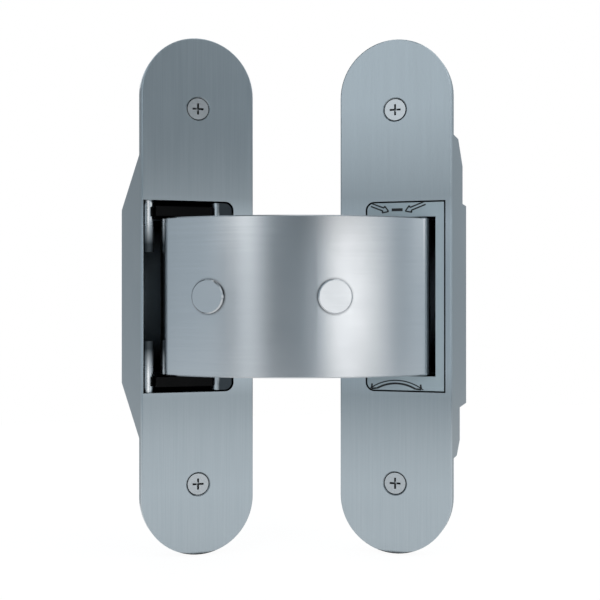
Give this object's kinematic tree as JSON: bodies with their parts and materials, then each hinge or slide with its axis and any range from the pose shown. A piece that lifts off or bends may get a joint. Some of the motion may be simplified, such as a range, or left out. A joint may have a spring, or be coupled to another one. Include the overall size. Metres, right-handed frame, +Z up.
{
  "type": "concealed door hinge",
  "caption": "Concealed door hinge: two round-ended bodies let into jamb and door edge, joined by one wide arched arm on slide tracks.",
  "frame": {"origin": "centre of the jamb body's flange seat, the plane of the flange's back face", "axes": "+Z up along the plates, +Y into the jamb, +X across the plate towards the door body"},
  "size_m": [0.092, 0.0624, 0.134],
  "materials": {
    "cast_zinc": "satin",
    "satin_plate": "brushed satin",
    "satin_insert": "satin",
    "satin_arm": "satin chrome",
    "black_steel": "black oxide",
    "bright_steel": "bright zinc",
    "nylon": "moulded"
  },
  "bodies": {
    "left_body": {"left_housing": "cast_zinc", "left_cover_plate": "satin_plate", "left_cover_screws": "bright_steel", "left_guide_plate_upper": "black_steel", "left_guide_plate_lower": "black_steel", "left_guide_screws": "bright_steel", "left_bearing_block": "cast_zinc"},
    "left_slider": {"left_slide_pin": "bright_steel", "left_roller_upper": "nylon", "left_roller_lower": "nylon", "left_washers": "nylon"},
    "arm": {"arm": "satin_arm", "arm_cap_left": "satin_arm", "arm_cap_right": "satin_arm", "left_cam_pins": "bright_steel", "right_cam_pins": "bright_steel"},
    "right_slider": {"right_slide_pin": "bright_steel", "right_roller_upper": "nylon", "right_roller_lower": "nylon", "right_washers": "nylon"},
    "right_body": {"right_housing": "cast_zinc", "right_cover_plate": "satin_plate", "right_cover_screws": "bright_steel", "right_guide_plate_upper": "black_steel", "right_guide_plate_lower": "black_steel", "right_guide_screws": "bright_steel", "right_insert": "satin_insert"}
  },
  "joints": [
    {"name": "arm_turn", "type": "hinge", "parent": "left_slider", "child": "arm", "pos_m": [-0.00445, 0.00542, 0], "axis": [0, 0, 1], "range_deg": [-73, 17]},
    {"name": "left_track_slide", "type": "slide", "parent": "left_body", "child": "left_slider", "axis": [-0.521, -0.8536, 0], "range_m": [-0.02927, 0.00682]},
    {"name": "right_pin_turn", "type": "hinge", "parent": "arm", "child": "right_slider", "pos_m": [0.05752, -0.01353, 0], "axis": [0, 0, 1], "range_deg": [-73, 17]},
    {"name": "right_track_slide", "type": "slide", "parent": "right_slider", "child": "right_body", "axis": [-0.1547, 0.988, 0], "range_m": [-0.02192, 0.00511]}
  ],
  "couplings": [
    {"joint": "left_track_slide", "follows": "arm_turn", "m_per_rad": 0.022972},
    {"joint": "right_pin_turn", "follows": "arm_turn", "ratio": 1},
    {"joint": "right_track_slide", "follows": "arm_turn", "m_per_rad": 0.017208}
  ]
}
